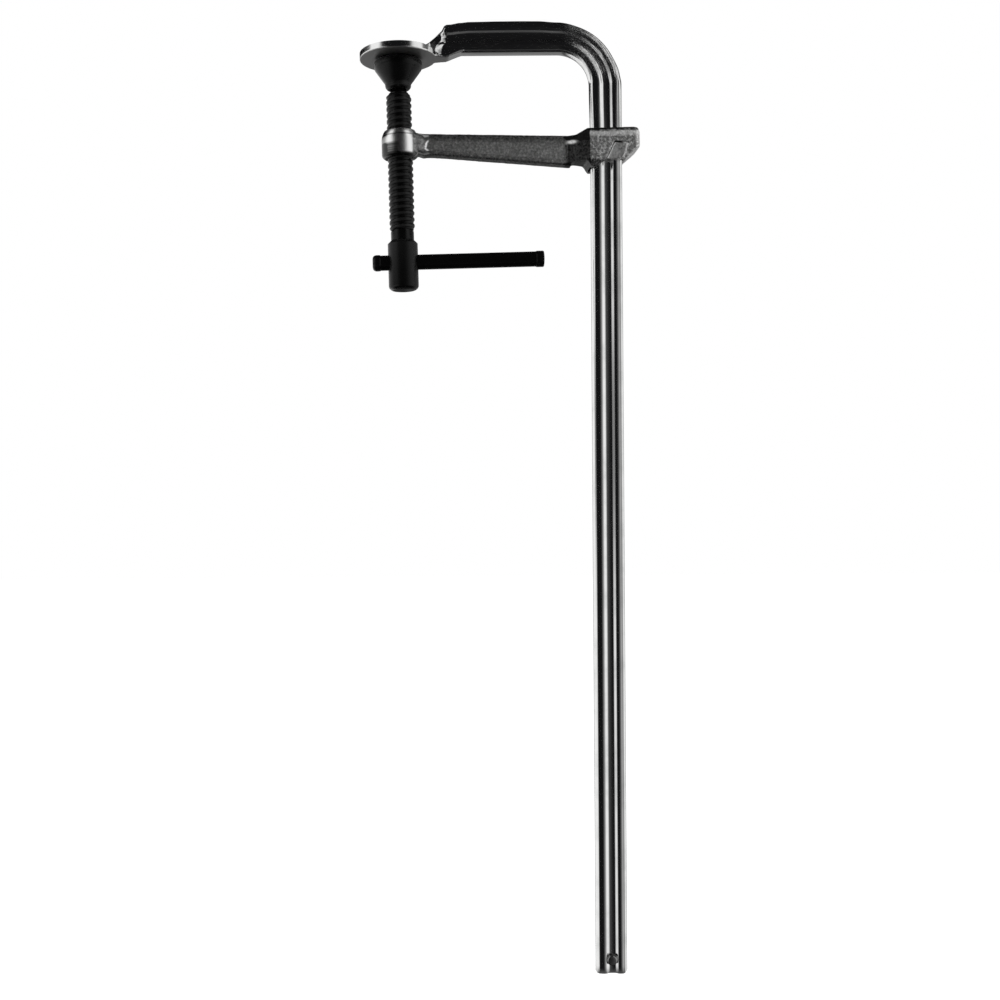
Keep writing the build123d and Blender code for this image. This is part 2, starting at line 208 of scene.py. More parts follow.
def grain(tree, where, scale, detail=3.0, roughness=0.5):
    """Noise, finer as its scale grows."""
    inputs = {"Vector": where, "Scale": scale, "Detail": detail, "Roughness": roughness}
    return node(tree, "ShaderNodeTexNoise", None, inputs)


def tint(tree, share, low, high, way="MIX"):
    """A colour between two, by a share, or their product."""
    low, high = [c if isinstance(c, Value) else (*c, 1) for c in (low, high)]
    settings = {"data_type": "RGBA", "blend_type": way}
    return node(tree, "ShaderNodeMix", settings, {0: share, 6: low, 7: high}, 2)


def relief(tree, height, depth, strength=1.0, under=None):
    """A bump of a height map, its depth in millimetres."""
    inputs = {"Height": height, "Distance": depth * MM, "Strength": strength}
    if under:
        inputs["Normal"] = under
    return node(tree, "ShaderNodeBump", None, inputs)


def surface(name, build):
    """A material with the shader that a builder makes from nodes."""
    made = bpy.data.materials.new(name)
    made.use_nodes = True
    tree = made.node_tree
    tree.nodes.clear()
    node(tree, "ShaderNodeOutputMaterial", None, {"Surface": build(tree)})
    return made


def finish(name, recipe):
    """A finish of the clamp: a recipe fills its shader's sockets."""
    return surface(name, lambda tree: node(tree, "ShaderNodeBsdfPrincipled", None, recipe(tree)))


def plated(tree):
    """Bright plating: drawn lines along the bar, stretch marks at its bend, a dull jaw face."""
    x, y, z, where = place(tree)
    past_x = (x - bend_x * MM).above(0)
    past_z = (z - bend_z * MM).above(0)
    across = (past_x * past_x + past_z * past_z).root()
    lengthwise = z - x
    bent = (past_x * past_z).between(0.00001, 0.0003)

    def streaks(fine, long, detail, roughness=0.5):
        drawn_out = vector(tree, across * fine, y * fine, lengthwise * long)
        return grain(tree, drawn_out, 1.0, detail, roughness)

    lines = streaks(2400, 14, 4.0, 0.65)
    marks = streaks(1300, 120, 3.0, 0.6)
    wave = streaks(190, 11, 2.0)
    haze = grain(tree, where, 60, 4.0, 0.6).between(0.4, 0.75)
    pits = grain(tree, where, 1100, 2.0).between(0.62, 0.8)
    jaw_face = (1 - z.between(0.2 * MM, 0.6 * MM)) * (1 - x.between(0.06, 0.09))
    drawn = relief(tree, lines, 0.016, 0.5, relief(tree, wave, 0.07, 0.4))
    bright = tint(tree, haze, (0.82, 0.82, 0.815), (0.66, 0.665, 0.66))
    return {
        "Base Color": tint(tree, jaw_face, bright, (0.4, 0.4, 0.395)),
        "Metallic": 1.0,
        "Roughness": 0.09 + lines * 0.06 + haze * 0.07 + pits * 0.08 + bent * 0.1 + jaw_face * 0.3,
        "Normal": relief(tree, bent * marks, 0.3, 0.9, drawn),
    }


def forged(tree):
    """Forged and blasted steel with painted shade in its corners, turned bright round the boss."""
    x, y, z, where = place(tree)

    # The place on the uncanted arm in millimetres: along it, up, and out from its middle plane
    lean = tan(radians(arm_cant))
    off_axis = (x + (z - ball_z * MM) * lean) / MM
    rise = (z - x * lean) / MM
    deep = y.size() / MM
    reach = (off_axis * off_axis + deep * deep).root()
    under_top = off_axis * -web_top_slope - rise + web_top_z
    over_low = off_axis * web_low_slope + rise - web_low_z
    under_edge = sleeve_top_z - rise

    # Grains of the skin, and the rings left by turning
    fine = grain(tree, where, 2300, 3.0, 0.65)
    coarse = grain(tree, where, 700, 3.0, 0.7)
    speck = coarse.between(0.46, 0.72)
    hollow = 1 - coarse.between(0.3, 0.5)
    blotch = grain(tree, where, 140, 4.0, 0.6).between(0.3, 0.7)
    rings = grain(tree, vector(tree, 0.0, 0.0, z * 900), 1.0, 3.0, 0.6)

    # Web and sleeve: their rims, which get painted shade, and the panel and the pocket that are
    # sunk in them, whose floors get painted light
    web = reach.between(11.9, 13.4).above(off_axis.between(7.0, 8.6))
    sleeve = off_axis.between(117.6, 119.0)
    web_rims = 1 - under_top.between(3.2, 5.0) + (1 - over_low.between(1.0, 2.6)) * 0.2
    sleeve_rim = 1 - under_edge.between(1.6, 3.4)
    rims = web_rims + (sleeve_rim - web_rims) * sleeve
    sunk_web = 1 - deep.between(4.0, 4.7)
    sunk = sunk_web + (1 - deep.between(8.5, 9.3) - sunk_web) * sleeve

    # Web: the panel's two ends, a painted highlight at the left and painted shade at the right; the
    # ramp, with painted shade and a painted glint; and painted shade along the lower edge
    panel_wall = deep.band(3.9, 4.2, 4.5, 4.9)
    lip = panel_wall * (1 - off_axis.between(17.4, 18.8))
    end = panel_wall * off_axis.between(102.4, 103.6)
    far = off_axis.between(50.0, 105.0)
    ramp = off_axis.band(102.6, 106.4, 118.4, 119.4)
    glint = off_axis.band(103.0, 107.6, 108.4, 113.0) * rise.band(-58.6, -56.6, -56.2, -54.2)
    sill = (1 - sleeve) * (1 - over_low.between(0.1, 1.3))

    # Sleeve: flecks, a painted highlight band under its rim (worn), painted shade on the pocket's
    # walls with a painted highlight at their right end, and painted shade on the lower tip
    fleck = sleeve * (1 - sunk * 0.7) * grain(tree, where, 760, 3.0, 0.7).between(0.48, 0.62)
    # worn is a painted highlight: the band where the sleeve's rounded top edge catches the light
    worn = sleeve * under_edge.band(2.2, 3.4, 5.0, 6.6) * (0.5 + fleck * 0.9)
    walls = sleeve * deep.band(8.4, 8.8, 9.3, 9.8)
    wall = walls * (1 - off_axis.between(138.0, 140.5))
    pocket_highlight = walls * off_axis.band(138.0, 140.5, 145.5, 147.0) * under_edge.between(4.0, 5.0)
    tip = sleeve * (1 - rise.between(-70.0, -67.5))

    # Boss: painted shade on its foot, its left flank and the line under its shoulder, and a darker
    # patch low on its left
    foot = 1 - rise.between(-61.4, -60.0)
    # Darker low on the boss's left, varied below by the turning rings
    low_left_patch = (1 - rise.between(-55.6, -53.4)) * (1 - off_axis.between(-3.2, 0.5))
    flank = 1 - off_axis.between(-10.4, -7.4)
    shoulder = rise.band(-50.0, -49.5, -49.1, -48.6)

    spots = speck * 0.55 + blotch * 0.15 + fleck * 0.75
    # Painted light on the sunk panel and pocket floors; the sleeve and the web's far half are only
    # lighter in tone
    lit_floors_and_tone = sunk * 0.15 + sleeve * (0.08 + sunk * 0.45) + far * 0.15
    # Painted highlights: the band under the sleeve's rim, the glint, the pocket wall's highlight
    # and the panel's left lip
    wear_and_highlights = worn * 1.2 + glint + pocket_highlight + lip * 1.6
    pale = web * (spots + lit_floors_and_tone + wear_and_highlights) + (1 - web)
    # Painted shade on the rims, on the ramp outside its painted glint, and on the panel's right end
    shaded = rims * 0.5 + (ramp - glint * 1.2).above(0) * 0.85 + end * (1 - sleeve) * 0.4
    # Painted shade on the sleeve's tip, the pocket walls and the web's lower edge, with darker
    # grain and a darker sleeve between its flecks
    shade_and_grain = tip * 0.7 + wall * 1.3 + sill * 0.6 + sleeve * (1 - fleck) * 0.15 + hollow * 0.35
    low_left_ringed = low_left_patch * (0.6 + rings.between(0.2, 0.6) * 0.35)
    # Painted shade on the boss's foot, left flank and shoulder line, with the darker patch low on
    # its left
    boss_shade_and_patch = foot * 0.95 + low_left_ringed + flank * 0.7 + shoulder * 0.6
    # scale holds all the darkening: painted shade, darker grain and the boss's darker patch
    scale = web * (shaded + shade_and_grain) + (1 - web) * boss_shade_and_patch
    bare = tint(tree, pale, (0.3, 0.3, 0.296), (0.97, 0.97, 0.96))
    dusky = tint(tree, scale, (1, 1, 1), (0.06, 0.06, 0.06))
    # Less metallic on the painted highlights and the flecks, so the lamps light them paler
    matt_highlights_and_flecks = worn * 0.3 + pocket_highlight * 0.5 + fleck * 0.12 + glint * 0.7 + lip * 0.6
    skin = relief(tree, web * (fine * 0.5 + coarse), 0.2, 1.0)
    return {
        "Base Color": tint(tree, 1.0, bare, dusky, "MULTIPLY"),
        "Metallic": 1 - web * matt_highlights_and_flecks,
        "Roughness": 0.23 + web * (0.23 + fine * 0.14 - lip * 0.2) + (1 - web) * rings * 0.12,
        "Normal": relief(tree, (1 - web) * rings, 0.1, 0.8, skin),
    }


def black_oxide(tree):
    """Blackened steel with a thin film of oil, worn paler on the thread and the edges."""
    x, y, z, where = place(tree)
    off_axis = x + (z - ball_z * MM) * tan(radians(arm_cant))
    reach = (off_axis * off_axis + y * y).root()
    film = grain(tree, where, 210, 4.0, 0.6).between(0.3, 0.75)
    turning = grain(tree, vector(tree, x * 90, y * 90, z * 1900), 1.0, 2.0)
    fine = grain(tree, where, 1500, 3.0, 0.6)
    edge = node(tree, "ShaderNodeNewGeometry", output="Pointiness").between(0.51, 0.6)
    crest = reach.band(7.7 * MM, 7.95 * MM, 8.1 * MM, 8.4 * MM)
    # Wear alone here: the thread's crests and the edges are paler
    wear_and_highlights = (crest * 0.4 + edge * 0.5) * (0.3 + fine * 0.9)
    return {
        "Base Color": tint(tree, wear_and_highlights, (0.002, 0.002, 0.002), (0.028, 0.028, 0.028)),
        "Metallic": 0.0,
        "Specular IOR Level": 0.2,
        "Roughness": 0.2 + film * 0.1 + turning * 0.08 - wear_and_highlights * 0.05,
        "Normal": relief(tree, turning + fine * 0.6, 0.03, 0.6),
    }


def spring_wire(tree):
    """Bare drawn wire."""
    *_, where = place(tree)
    fine = grain(tree, where, 1800, 3.0)
    return {
        "Base Color": tint(tree, fine, (0.26, 0.26, 0.26), (0.42, 0.42, 0.41)),
        "Metallic": 1.0,
        "Roughness": 0.25 + fine * 0.15,
        "Normal": relief(tree, fine, 0.01, 0.5),
    }


plated_steel = finish("plated_steel", plated)
forged_steel = finish("forged_steel", forged)
black_steel = finish("black_steel", black_oxide)
wire_steel = finish("wire_steel", spring_wire)


# Making meshes

def eased(share):
    """A share from 0 to 1 that starts and ends softly."""
    return share * share * (3 - 2 * share)


def along(stops, spot, soft=False):
    """A value between those of (spot, value) stops, on straight lines or with soft steps."""
    for (low, first), (high, second) in zip(stops, stops[1:]):
        if spot <= high:
            share = max(0, (spot - low) / (high - low))
            return first + (second - first) * (eased(share) if soft else share)
    return stops[-1][1]


def only(kind, geom):
    """The points or the edges among what an operator gives."""
    return [g for g in geom if isinstance(g, kind)]


def chain(bm, corners):
    """An open outline through (x, y, z) corners in millimetres."""
    points = [bm.verts.new([c * MM for c in corner]) for corner in corners]
    for pair in zip(points, points[1:]):
        bm.edges.new(pair)
    return points


def rounded(bm, geom, radius, segments=4):
    """Rounds corners of an outline, or edges of a body."""
    bmesh.ops.bevel(
        bm,
        geom=geom,
        offset=radius * MM,
        segments=segments,
        profile=0.5,
        affect="VERTICES" if isinstance(geom[0], BMVert) else "EDGES",
        material=-1,
        clamp_overlap=True,
    )


def closed(bm, distance=0.004):
    """Merges a body's doubles and turns its faces outwards."""
    bmesh.ops.remove_doubles(bm, verts=bm.verts, dist=distance * MM)
    bmesh.ops.dissolve_degenerate(bm, dist=distance * MM / 4, edges=bm.edges)
    bmesh.ops.recalc_face_normals(bm, faces=bm.faces)
    return bm


def turned(corners, roundings=(), steps=72):
    """A body turned from (radius, height) corners, with roundings of (radius, corner numbers)."""
    bm = bmesh.new()
    points = chain(bm, [(r, 0, z) for r, z in corners])
    for radius, numbers in roundings:
        rounded(bm, [points[n] for n in numbers], radius)
    bmesh.ops.spin(
        bm,
        geom=bm.verts[:] + bm.edges[:],
        cent=(0, 0, 0),
        axis=(0, 0, 1),
        angle=tau,
        steps=steps,
        use_merge=True,
    )
    return closed(bm)


def moved(bm, way):
    """A body brought to its place."""
    bmesh.ops.transform(bm, matrix=way, verts=bm.verts)
    return bm


def body_of(name, bm):
    """A loose object from a bmesh."""
    mesh = bpy.data.meshes.new(name)
    bm.to_mesh(mesh)
    bm.free()
    made = bpy.data.objects.new(name, mesh)
    bpy.context.scene.collection.objects.link(made)
    return made


def dropped(made):
    """Takes an object and its mesh away."""
    mesh = made.data
    bpy.data.objects.remove(made)
    bpy.data.meshes.remove(mesh)


def settled(made):
    """An object's mesh with its modifiers taken up, as a bmesh; the object goes."""
    shape = made.evaluated_get(bpy.context.evaluated_depsgraph_get())
    bm = bmesh.new()
    bm.from_mesh(shape.to_mesh())
    shape.to_mesh_clear()
    dropped(made)
    return bm


def joined(base, other, operation="UNION"):
    """One body from two, or what is left of the first without the second."""
    base_body = body_of("base", base)
    other_body = body_of("other", other)
    cut = base_body.modifiers.new("cut", "BOOLEAN")
    cut.operation = operation
    cut.object = other_body
    cut.solver = "EXACT"
    bm = settled(base_body)
    dropped(other_body)
    return bm


def gathered(*bodies):
    """Bodies that overlap, put together in one bmesh to be fused by a remesh."""
    whole = bmesh.new()
    for bm in bodies:
        mesh = bpy.data.meshes.new("gathered")
        bm.to_mesh(mesh)
        bm.free()
        whole.from_mesh(mesh)
        bpy.data.meshes.remove(mesh)
    return whole


def softened(bm, voxel, rounds, factor=0.5):
    """A body remade in small even faces, its edges worn round as a forging's are."""
    made = body_of("soft", bm)
    remesh = made.modifiers.new("even", "REMESH")
    remesh.mode = "VOXEL"
    remesh.voxel_size = voxel * MM
    smooth = made.modifiers.new("worn", "SMOOTH")
    smooth.factor = factor
    smooth.iterations = rounds
    return settled(made)


def piece(name, bm, body, material, stands_for, sharp=40):
    """A finished piece that rides on a body and stands for a CAD node."""
    made = body_of(name, bm)
    made.data.materials.append(material)
    made.data.shade_smooth()
    made.data.set_sharp_from_angle(angle=radians(sharp))
    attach(made, body)
    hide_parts(stands_for)


# Rail

def rail_ring():
    """The bar's section at the top of its straight run, as one closed ring of edges."""
    bm = bmesh.new()
    points = chain(
        bm,
        [
            (0, groove_floor_y, 0),
            (groove_floor_half, groove_floor_y, 0),
            (groove_mouth_half, bead_edge_y, 0),
        ],
    )
    bead_turn = 2 * asin((bead_middle_x - groove_mouth_half) / bead_radius)
    side_turn = atan2(corner_y, corner_x + corner_radius - side_centre_x)
    arcs = [
        (bead_middle_x, bead_edge_y + bead_rise - bead_radius, bead_turn, 10),
        (corner_x, corner_y, pi / 2, 10),
        (side_centre_x, 0, side_turn, 4),
    ]
    tip = points[-1]
    for u, v, turn, steps in arcs:
        centre = (u * MM, v * MM, 0)
        arc = bmesh.ops.spin(bm, geom=[tip], cent=centre, axis=(0, 0, -1), angle=turn, steps=steps)
        tip = only(BMVert, arc["geom_last"])[0]
    tip.co.y = 0
    rounded(bm, [points[1]], groove_floor_rounding, 3)
    rounded(bm, [points[2]], groove_mouth_rounding, 4)
    for axis in "XY":
        bmesh.ops.mirror(bm, geom=bm.verts[:] + bm.edges[:], axis=axis, merge_dist=0.02 * MM)
    bmesh.ops.remove_doubles(bm, verts=bm.verts, dist=0.02 * MM)
    bmesh.ops.translate(bm, verts=bm.verts, vec=(rail_x * MM, 0, bend_z * MM))
    return bm


def cut_away(bm, point, outward):
    """Cuts a body by a plane, drops what lies outwards and closes the cut."""
    cut = bmesh.ops.bisect_plane(
        bm,
        geom=bm.verts[:] + bm.edges[:] + bm.faces[:],
        plane_co=[c * MM for c in point],
        plane_no=outward,
        clear_outer=True,
    )
    bmesh.ops.edgeloop_fill(bm, edges=only(BMEdge, cut["geom_cut"]))


def nosed(bm, tip, outward, steps=9):
    """Rounds the bar's slanting end over towards its middle plane, less so near its top."""
    for n in range(1, steps + 1):
        bmesh.ops.bisect_plane(
            bm,
            geom=bm.verts[:] + bm.edges[:] + bm.faces[:],
            plane_co=(tip - outward * nose_length * n / steps) * MM,
            plane_no=outward,
        )
    lengths = [(12.0, nose_length), (17.0, nose_length / 4)]
    for v in bm.verts:
        depth = (tip - v.co / MM).dot(outward)
        length = along(lengths, v.co.z / MM, soft=True)
        if depth < length:
            share = max(depth, 0) / length
            v.co.y *= nose_tip_share + (1 - nose_tip_share) * share * (1.25 - share / 4)


def bowed(bm):
    """Thins the bar where its bend was stretched, bows its arm and narrows its straight run."""
    bend_run = pi / 2 * (bend_inner_radius + rail_width)
    lifts = [
        (0, 0), (6, -0.6), (20, -1.6), (50, -1.7), (64, -1.0), (76, -0.15), (88, -0.05),
        (100, -0.1), (119, -0.35), (125, -0.9), (132, -2.0), (145, -2.4),
    ]
    for v in bm.verts:
        x = v.co.x / MM - bend_x
        z = v.co.z / MM - bend_z
        if z <= 0:
            narrow = (1 - run_width / rail_width) * eased(min(1, -z / run_taper_length))
            v.co.x += (rail_x + rail_width / 2 - v.co.x / MM) * narrow * MM
            continue
        if x <= 0:
            share = (z - bend_inner_radius) / rail_width
            v.co.z += share * along(lifts, bend_run - x, soft=True) * MM
            continue
        turn = atan2(z, x)
        share = (hypot(x, z) - bend_inner_radius) / rail_width
        lift = share * along(lifts, turn / (pi / 2) * bend_run, soft=True) * MM
        v.co += Vector((cos(turn), 0, sin(turn))) * lift


def pulled(bm, ring, way, cuts=0):
    """Pulls a ring of edges out along a way, with rings between where asked; gives the far ring."""
    made = bmesh.ops.extrude_edge_only(bm, edges=ring)
    verts = only(BMVert, made["geom"])
    far = set(verts)
    edges = [e for e in only(BMEdge, made["geom"]) if far.issuperset(e.verts)]
    bmesh.ops.translate(bm, verts=verts, vec=Vector(way) * MM)
    if cuts:
        sides = [e for v in verts for e in v.link_edges if not far.issuperset(e.verts)]
        bmesh.ops.subdivide_edges(bm, edges=sides, cuts=cuts, use_grid_fill=True)
    return edges


def grooved_bar():
    """The straight rail, the bend and the fixed arm with its slanting, rounded end."""
    bm = rail_ring()
    ring = bm.edges[:]
    run_length = bend_z - rail_foot_z - run_taper_length - foot_length
    low = pulled(bm, ring, (0, 0, -run_taper_length), 10)
    low = pulled(bm, low, (0, 0, -run_length))
    low = pulled(bm, low, (0, 0, -foot_length))
    centre = (bend_x * MM, 0, bend_z * MM)
    bend = bmesh.ops.spin(bm, geom=ring, cent=centre, axis=(0, -1, 0), angle=pi / 2, steps=48)
    pulled(bm, only(BMEdge, bend["geom_last"]), (bar_spare_x - bend_x, 0, 0), 40)
    foot = bmesh.ops.edgeloop_fill(bm, edges=low)["faces"]
    bmesh.ops.recalc_face_normals(bm, faces=bm.faces)
    bowed(bm)
    slope = (bar_end_top_x - bar_end_low_x) / (fixed_arm_high_z - fixed_arm_low_z)
    outward = Vector((-1, 0, slope)).normalized()
    tip = Vector((bar_end_low_x, 0, fixed_arm_low_z))
    cut_away(bm, tip, outward)
    nosed(bm, tip, outward)
    rounded(bm, foot[0].edges[:], foot_edge_radius, 3)
    corner = Vector((rail_x + rail_width / 2 - foot_radius, 0, rail_foot_z + foot_radius))
    for turn in (15, 30, 45, 60, 75):
        out = (cos(radians(turn)), 0, -sin(radians(turn)))
        cut_away(bm, corner + foot_radius * Vector(out), out)
    return closed(bm)


def neck_body(sections, radius):
    """A body through upright rounded sections of (x, depth, low, high)."""
    bm = bmesh.new()
    loops = []
    for x, depth, low, high in sections:
        corners = [(-depth / 2, low), (depth / 2, low), (depth / 2, high), (-depth / 2, high)]
        points = [bm.verts.new((x * MM, y * MM, z * MM)) for y, z in corners]
        loops.append([bm.edges.new((points[n - 1], points[n])) for n in range(4)])
    for near, far in zip(loops, loops[1:]):
        bmesh.ops.bridge_loops(bm, edges=near + far)
    for end in (loops[0], loops[-1]):
        bmesh.ops.edgeloop_fill(bm, edges=end)
    bmesh.ops.recalc_face_normals(bm, faces=bm.faces)
    lengthwise = [e for e in bm.edges if abs((e.verts[0].co - e.verts[1].co).x) > MM]
    rounded(bm, lengthwise, radius, 3)
    return closed(bm)


def fixed_jaw():
    """The round jaw disc, and the ridge, sole and heel that are forged between it and the bar."""
    ridge = neck_body(
        [
            (8.0, 30.0, 1.0, 3.6),
            (11.0, 25.0, 0.6, 4.4),
            (16.0, 13.0, 0.4, 7.2),
            (20.0, 5.6, 0.4, 10.6),
            (24.0, 3.6, 0.4, 14.4),
            (27.0, 3.6, 1.5, 17.4),
            (30.0, 4.4, 2.9, 19.9),
            (33.0, 5.4, 4.0, 21.3),
            (37.0, 6.0, 5.0, 21.3),
        ],
        1.4,
    )
    sole = neck_body(
        [
            (9.0, 38.0, 0.0, 3.0),
            (14.0, 27.0, 0.0, 2.4),
            (20.0, 18.0, 0.0, 1.7),
            (24.0, 12.6, 0.0, 1.6),
            (28.0, 10.6, 0.0, 1.6),
            (31.0, 10.0, 0.1, 1.8),
        ],
        0.5,
    )
    heel = neck_body(
        [
            (23.4, 3.6, 0.4, 5.0),
            (25.0, 7.0, 0.2, 6.0),
            (27.5, 9.6, 0.1, 7.0),
            (30.0, 10.3, 0.1, 7.0),
            (32.0, 10.3, 0.4, 7.0),
            (35.0, 10.3, 1.7, 7.0),
            (38.5, 10.1, 3.0, 7.0),
            (42.0, 9.6, 4.0, 7.0),
        ],
        0.9,
    )
    disc = turned(
        [(0, 0), (disc_radius, 0), (disc_radius, disc_thickness), (0, disc_thickness)],
        [(0.4, (1,)), (0.35, (2,))],
        128,
    )
    jaw = softened(gathered(disc, ridge, sole, heel), voxel=0.36, rounds=4)
    # The remesh rounds the disc off, so its face and rim are set true again
    for v in jaw.verts:
        if v.co.z < disc_face_slack * MM:
            v.co.z = 0
        reach = hypot(v.co.x, v.co.y)
        if v.co.x < disc_free_x * MM and reach > (disc_radius - disc_rim_slack) * MM:
            v.co.z = 0 if v.co.z < 0.3 * MM else min(v.co.z, disc_thickness * MM)
            if v.co.z > 0.2 * MM:
                v.co.xy *= disc_radius * MM / reach
    return jaw


piece("rail_bar", joined(grooved_bar(), fixed_jaw()), "rail", plated_steel, "rail")


# Sliding arm

arm_tops = [
    (0, web_top_z), (web_end_x, web_end_top_z), (111.0, web_end_top_z), (117.7, sleeve_top_z),
]
arm_halves = [
    (0, 9.8), (15.5, web_half_depth), (web_end_x, web_half_depth), (sleeve_x, sleeve_half_depth),
]
arm_edge_radii = [(web_end_x, web_edge_radius), (sleeve_x, sleeve_edge_radius)]


def eased_boss(co):
    """The boss's foot, rounded more than its solid's, and its top."""
    if co.x >= boss_free_x * MM:
        return
    reach = hypot(co.x, co.y)
    under = max(0, boss_foot_radius - (co.z / MM - boss_bottom_z))
    limit = boss_radius - boss_foot_radius + max(0, boss_foot_radius**2 - under**2) ** 0.5
    limit *= MM
    if reach > limit:
        co.xy *= limit / reach
    co.z = min(co.z, boss_top_z * MM)


def eased_arm(co, right_x):
    """The upper edges of the web and the sleeve and the sleeve's outer corner, worn round."""
    x = co.x / MM
    if x < web_start_x:
        return
    radius = along(arm_edge_radii, x)
    over = co.z / MM - (along(arm_tops, x) - radius)
    if over <= 0:
        return
    drop = radius - (radius * radius - min(over, radius) ** 2) ** 0.5
    limit = (along(arm_halves, x) - drop * 0.8) * MM
    co.y = max(-limit, min(limit, co.y))
    corner = sleeve_corner_radius
    past = x - (right_x - corner)
    over = co.z / MM - (sleeve_top_z - corner)
    if past > 0 and hypot(past, over) > corner:
        share = corner / hypot(past, over)
        co.x = (right_x - corner + past * share) * MM
        co.z = (sleeve_top_z - corner + over * share) * MM


def eased_root(co):
    """The corner between the boss and the web's lower edge, filled out."""
    root = co.x / MM - boss_radius
    under = root_top_z - co.z / MM
    if root > 0 and under > 0:
        fill = root_fill * min(1, root / root_run_in) * exp(-((root / root_run_out) ** 2))
        co.z -= fill * min(1, under) * MM


def forging():
    """The arm's forging: the solid's form with worn edges and an uneven skin."""
    bm = bmesh.new()
    bm.from_mesh(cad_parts["sliding_arm"].data)
    bmesh.ops.remove_doubles(bm, verts=bm.verts, dist=0.001 * MM)
    bm = softened(moved(bm, canted.inverted()), voxel=0.45, rounds=5)
    right_x = max(v.co.x for v in bm.verts) / MM - sleeve_wear
    for v in bm.verts:
        eased_boss(v.co)
        eased_arm(v.co, right_x)
        eased_root(v.co)
    bmesh.ops.smooth_vert(
        bm, verts=bm.verts, factor=0.5, use_axis_x=True, use_axis_y=True, use_axis_z=True
    )
    bm.normal_update()
    for v in bm.verts:
        if hypot(v.co.x, v.co.y) < boss_turned_radius * MM:
            continue
        dents = noise.noise(v.co / (4.5 * MM)) * 0.1
        pebbles = noise.noise(v.co / (1.5 * MM)) * 0.08
        v.co += v.normal * (dents + pebbles) * MM
        v.co.x = min(v.co.x, right_x * MM)
    return moved(bm, canted)


piece("arm_forging", forging(), "sliding_arm", forged_steel, "sliding_arm", 60)


# Spindle, pad, tommy bar and stop pin

def thread():
    """The trapezoidal thread, a one-pitch outline turned and raised along the spindle."""
    bm = bmesh.new()
    start = thread_low_z - 2 * thread_pitch
    steps = 40
    turns = 25
    points = chain(
        bm,
        [
            (thread_core_radius, 0, start),
            (thread_core_radius, 0, start + thread_root_length),
            (thread_radius, 0, start + thread_root_length + thread_flank_length),
            (thread_radius, 0, start + thread_pitch - thread_flank_length),
            (thread_core_radius, 0, start + thread_pitch),
        ],
    )
    rounded(bm, points[1:2], thread_root_rounding, 2)
    rounded(bm, points[2:4], thread_crest_rounding, 3)
    bmesh.ops.spin(
        bm,
        geom=bm.verts[:] + bm.edges[:],
        cent=(0, 0, 0),
        axis=(0, 0, 1),
        dvec=(0, 0, thread_pitch / steps * MM),
        angle=turns * tau,
        steps=turns * steps,
    )
    bmesh.ops.remove_doubles(bm, verts=bm.verts, dist=0.02 * MM)
    bmesh.ops.recalc_face_normals(bm, faces=bm.faces)
    for end, out in ((thread_top_z, 1), (thread_low_z, -1)):
        cut_away(bm, (0, 0, end), (0, 0, out))
    for v in bm.verts:
        reach = hypot(v.co.x, v.co.y)
        top_limit = thread_top_radius + (thread_top_z - v.co.z / MM)
        low_limit = thread_low_radius + (v.co.z / MM - thread_low_z)
        limit = min(thread_radius, top_limit, low_limit) * MM
        if reach > limit:
            v.co.xy *= limit / reach
    return closed(bm, 0.01)


def spindle():
    """Ball, neck, thread, undercut and the head with its cross hole."""
    neck = turned(
        [
            (0, -5.1),
            (0.01, -5.1),
            (4.0, -15.57),
            (4.0, -19.4),
            (6.2, -21.6),
            (6.2, -24.0),
            (0, -24.0),
        ],
        steps=64,
    )
    ball = bmesh.new()
    bmesh.ops.create_uvsphere(ball, u_segments=64, v_segments=40, radius=ball_radius * MM)
    bmesh.ops.translate(ball, verts=ball.verts, vec=(0, 0, ball_z * MM))
    head = turned(
        [
            (0, -106.0),
            (6.2, -106.0),
            (7.3, -109.3),
            (7.3, -114.8),
            (7.6, -114.8),
            (9.5, -116.7),
            (9.5, -144.2),
            (7.7, -146.0),
            (0, -146.9),
        ],
        [(0.6, (3,)), (0.7, (4, 5)), (0.9, (6, 7))],
        96,
    )
    hole = turned(
        [
            (0, -12),
            (4.97, -12),
            (4.97, -9),
            (4.85, -5),
            (4.85, 5),
            (4.97, 9),
            (4.97, 12),
            (0, 12),
        ],
        steps=64,
    )
    head = joined(head, moved(hole, through_head), "DIFFERENCE")
    whole = thread()
    for other in (neck, ball, head):
        whole = joined(whole, other)
    return moved(whole, canted)


def tommy_bar():
    """The sliding bar with its upset and rounded ends."""
    bar = turned(
        [
            (0, -19.4),
            (5.1, -19.4),
            (5.1, -14.75),
            (4.75, -14.4),
            (4.75, 84.1),
            (5.1, 84.45),
            (5.1, 89.1),
            (0, 89.1),
        ],
        [(2.4, (1,)), (0.7, (6,)), (0.35, (2, 3, 4, 5))],
        56,
    )
    return moved(bar, canted @ through_head)


def swivel_pad():
    """The conical pad: its face, rim, cone and skirt, and the socket round the ball."""
    outline = [
        (0, -1.3),
        (15.2, -1.3),
        (15.2, -5.7),
        (9.4, -13.9),
        (8.2, -15.5),
        (8.2, -17.3),
        (7.0, -18.9),
        (5.2, -18.9),
        (5.2, -16.1),
        (socket_radius, -14.6),
        (socket_radius, ball_z),
        (socket_radius * sin(radians(60)), ball_z + socket_radius * cos(radians(60))),
        (socket_radius * sin(radians(30)), ball_z + socket_radius * cos(radians(30))),
        (0, ball_z + socket_radius),
    ]
    return turned(outline, [(0.9, (1, 2)), (1.4, (3,)), (0.8, (4,)), (0.7, (5, 6))], 96)


def stop_pin():
    """The pin through the rail's foot, its ends rounded."""
    pin = turned(
        [(0, -stop_end_y), (stop_radius, -stop_end_y), (stop_radius, stop_end_y), (0, stop_end_y)],
        [(1.0, (1, 2))],
        64,
    )
    return moved(pin, through_foot)


